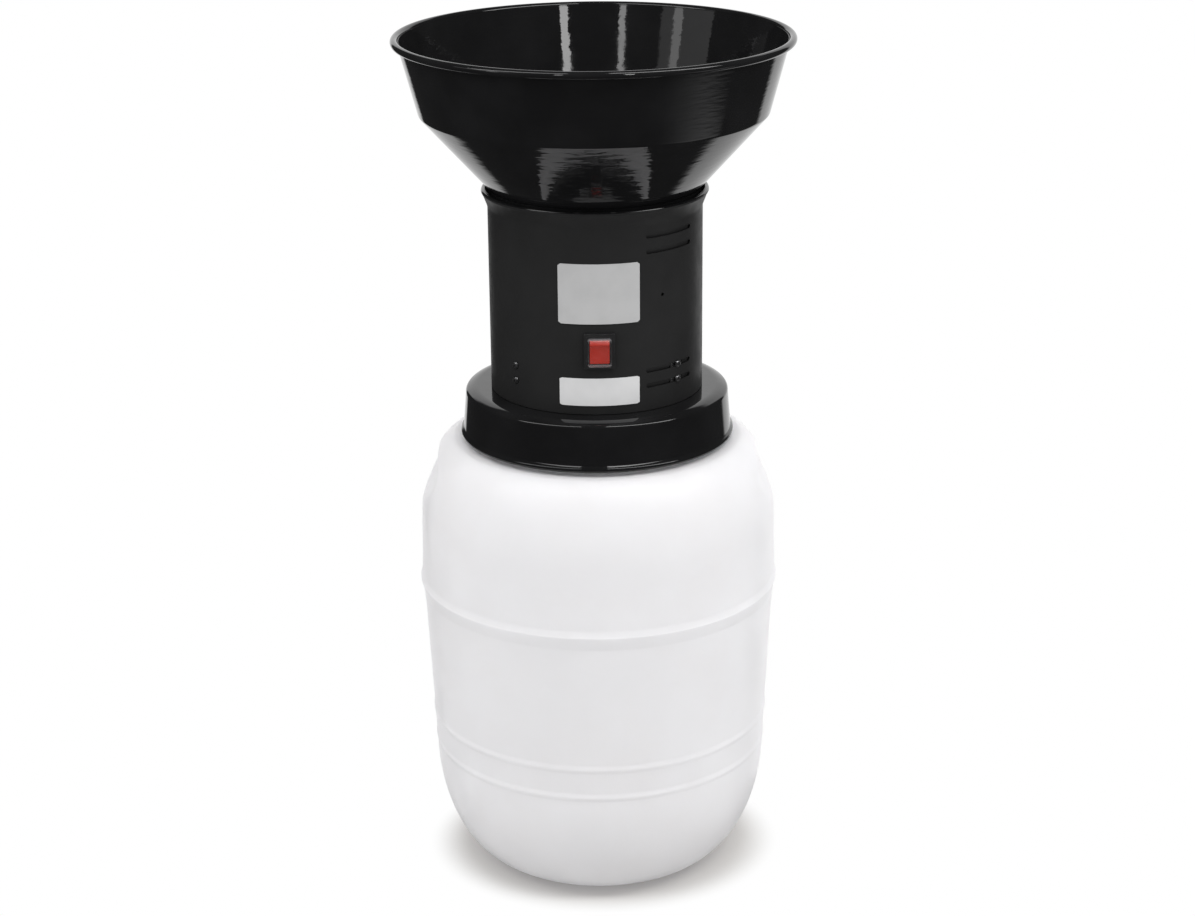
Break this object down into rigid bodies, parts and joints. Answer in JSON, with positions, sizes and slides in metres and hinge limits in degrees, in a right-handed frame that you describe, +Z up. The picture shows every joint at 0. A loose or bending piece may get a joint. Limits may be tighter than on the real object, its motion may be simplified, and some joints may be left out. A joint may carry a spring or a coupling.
{
  "type": "electric grain mill",
  "caption": "Electric grain mill head with hopper, motor and sieve chamber, standing on the neck of a plastic storage drum.",
  "frame": {"origin": "centre of the drum's foot circle on the floor", "axes": "+Z up along the axis of the drum, -Y towards the switch at the front, +X to the right seen from the front"},
  "size_m": [0.41, 0.41, 0.903],
  "materials": {
    "drum_plastic": "milky, satin",
    "black_enamel": "glossy",
    "black_satin": "satin",
    "black_plastic": "satin",
    "red_plastic": "glossy",
    "clear_boot": "clear, glossy",
    "plate_silver": "satin",
    "plate_white": "satin",
    "steel": "brushed",
    "aluminium": "cast",
    "lamination": "laminated sheet",
    "copper": "varnished winding",
    "rubber": "matte",
    "grey_plastic": "satin"
  },
  "bodies": {
    "drum": {"drum": "drum_plastic"},
    "head": {"bearing_lower": "steel", "bearing_upper": "steel", "bracket_screw_1": "steel", "bracket_screw_2": "steel", "bracket_screw_3": "steel", "bracket_screw_4": "steel", "bracket_screw_5": "steel", "bracket_screw_6": "steel", "bracket_screw_7": "steel", "bracket_screw_8": "steel", "cable_gland": "black_plastic", "capacitor": "grey_plastic", "capacitor_clip": "steel", "chamber_floor": "steel", "chamber_stud_1": "steel", "chamber_stud_2": "steel", "chamber_stud_3": "steel", "end_shield_lower": "aluminium", "end_shield_upper": "aluminium", "feed_duct": "black_satin", "gate_pivot_bolt": "steel", "gate_pivot_nut": "steel", "gland_lock_nut": "black_plastic", "hopper": "black_enamel", "hopper_floor": "black_enamel", "hopper_screw_1": "steel", "hopper_screw_2": "steel", "hopper_screw_3": "steel", "housing": "black_satin", "housing_bracket_1": "steel", "housing_bracket_2": "steel", "housing_bracket_3": "steel", "housing_bracket_4": "steel", "lid": "black_enamel", "lower_plate": "plate_white", "motor_bolt_1": "steel", "motor_bolt_2": "steel", "motor_bolt_3": "steel", "motor_shell": "black_satin", "motor_stator": "lamination", "rating_plate": "plate_silver", "shaft_seal": "rubber", "sieve_ring": "steel", "switch_boot": "clear_boot", "switch_frame": "black_plastic", "winding_lower": "copper", "winding_upper": "copper", "wing_nut_1": "steel", "wing_nut_2": "steel", "wing_nut_3": "steel"},
    "rotor": {"blade": "steel", "blade_nut": "steel", "blade_washer": "steel", "motor_fan": "grey_plastic", "motor_rotor": "lamination", "motor_shaft": "steel"},
    "gate": {"feed_gate": "black_enamel", "gate_knob": "black_plastic"},
    "rocker": {"switch_rocker": "red_plastic"}
  },
  "joints": [
    {"name": "head_lift", "type": "slide", "parent": "drum", "child": "head", "axis": [0, 0, 1], "range_m": [0, 0.15]},
    {"name": "rotor_spin", "type": "hinge", "parent": "head", "child": "rotor", "pos_m": [0, 0, 0.5], "axis": [0, 0, 1], "continuous": true},
    {"name": "gate_turn", "type": "hinge", "parent": "head", "child": "gate", "pos_m": [0, 0, 0.746], "axis": [0, 0, 1], "range_deg": [0, 62]},
    {"name": "switch_rock", "type": "hinge", "parent": "head", "child": "rocker", "pos_m": [0.00305, -0.10936, 0.603], "axis": [-0.9996, -0.0279, 0], "range_deg": [0, 16]}
  ]
}
